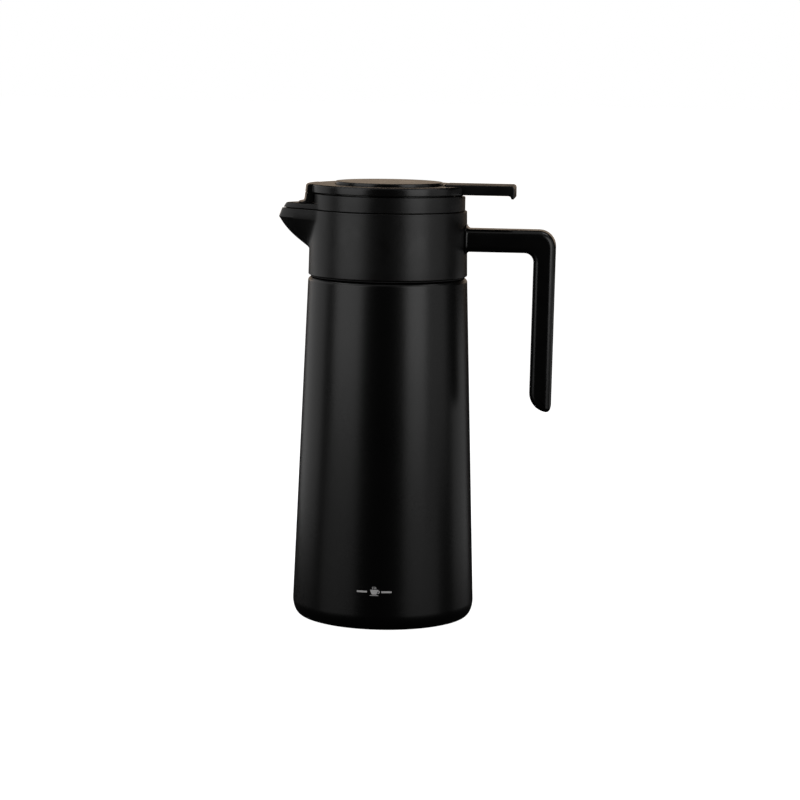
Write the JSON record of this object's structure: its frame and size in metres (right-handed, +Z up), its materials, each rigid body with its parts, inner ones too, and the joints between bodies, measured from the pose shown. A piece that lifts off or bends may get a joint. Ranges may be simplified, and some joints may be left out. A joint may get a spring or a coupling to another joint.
{
  "type": "thermal coffee server",
  "caption": "Tapered vacuum-insulated steel coffee server with a short V spout, a square side handle and a lid opened by a thumb lever.",
  "frame": {"origin": "on the flask's own axis, at the flat face it stands on", "axes": "+Z up along the flask's axis, +X towards the handle, -X towards the spout, +Y completes a right-handed frame"},
  "size_m": [0.1579, 0.104, 0.2494],
  "materials": {
    "black_coated_steel": "satin black powder coat on drawn steel",
    "stainless_steel": "bare stainless steel, satin",
    "brazing_brass": "bare metal",
    "black_plastic": "fine satin moulding",
    "gloss_black_plastic": "smooth moulding",
    "dark_silicone": "soft matt silicone"
  },
  "bodies": {
    "flask": {"outer_shell": "black_coated_steel", "inner_vessel": "stainless_steel", "shell_base": "stainless_steel", "vacuum_seal": "brazing_brass", "radiation_foil": "stainless_steel", "getter": "brazing_brass", "base_pad": "dark_silicone", "collar_ring": "dark_silicone", "neck_gasket": "dark_silicone", "pouring_head": "black_plastic", "handle": "black_plastic", "grip_liner": "dark_silicone", "handle_screw_1": "stainless_steel", "handle_screw_2": "stainless_steel"},
    "seal_ring": {"stopper_seal": "dark_silicone"},
    "lid": {"lid_body": "black_plastic", "lid_cap": "black_plastic", "lid_plate": "gloss_black_plastic", "plug": "black_plastic", "rim_seal": "dark_silicone", "stem_grommet": "dark_silicone", "lever_pin": "stainless_steel", "lid_screw_1": "stainless_steel", "lid_screw_2": "stainless_steel", "lid_screw_3": "stainless_steel", "lid_screw_4": "stainless_steel", "return_spring": "stainless_steel"},
    "lever": {"lever": "black_plastic"},
    "valve": {"valve": "black_plastic", "valve_seal": "dark_silicone", "stem_nut": "stainless_steel"}
  },
  "joints": [
    {"name": "lid_lift", "type": "slide", "parent": "flask", "child": "seal_ring", "axis": [0, 0, 1], "range_m": [0, 0.12]},
    {"name": "lid_turn", "type": "hinge", "parent": "seal_ring", "child": "lid", "pos_m": [0, 0, 0.2338], "axis": [0, 0, 1], "range_deg": [0, 90]},
    {"name": "lever_press", "type": "hinge", "parent": "lid", "child": "lever", "pos_m": [0.0355, 0, 0.2401], "axis": [0, 1, 0], "range_deg": [0, 6]},
    {"name": "valve_lift", "type": "slide", "parent": "lid", "child": "valve", "axis": [0, 0, 1], "range_m": [0, 0.0042], "stiffness_N_per_m": 100, "springref_m": -0.004, "deforming": ["return_spring"]}
  ],
  "couplings": [
    {"joint": "lever_press", "follows": "valve_lift", "rad_per_m": 24.93}
  ]
}
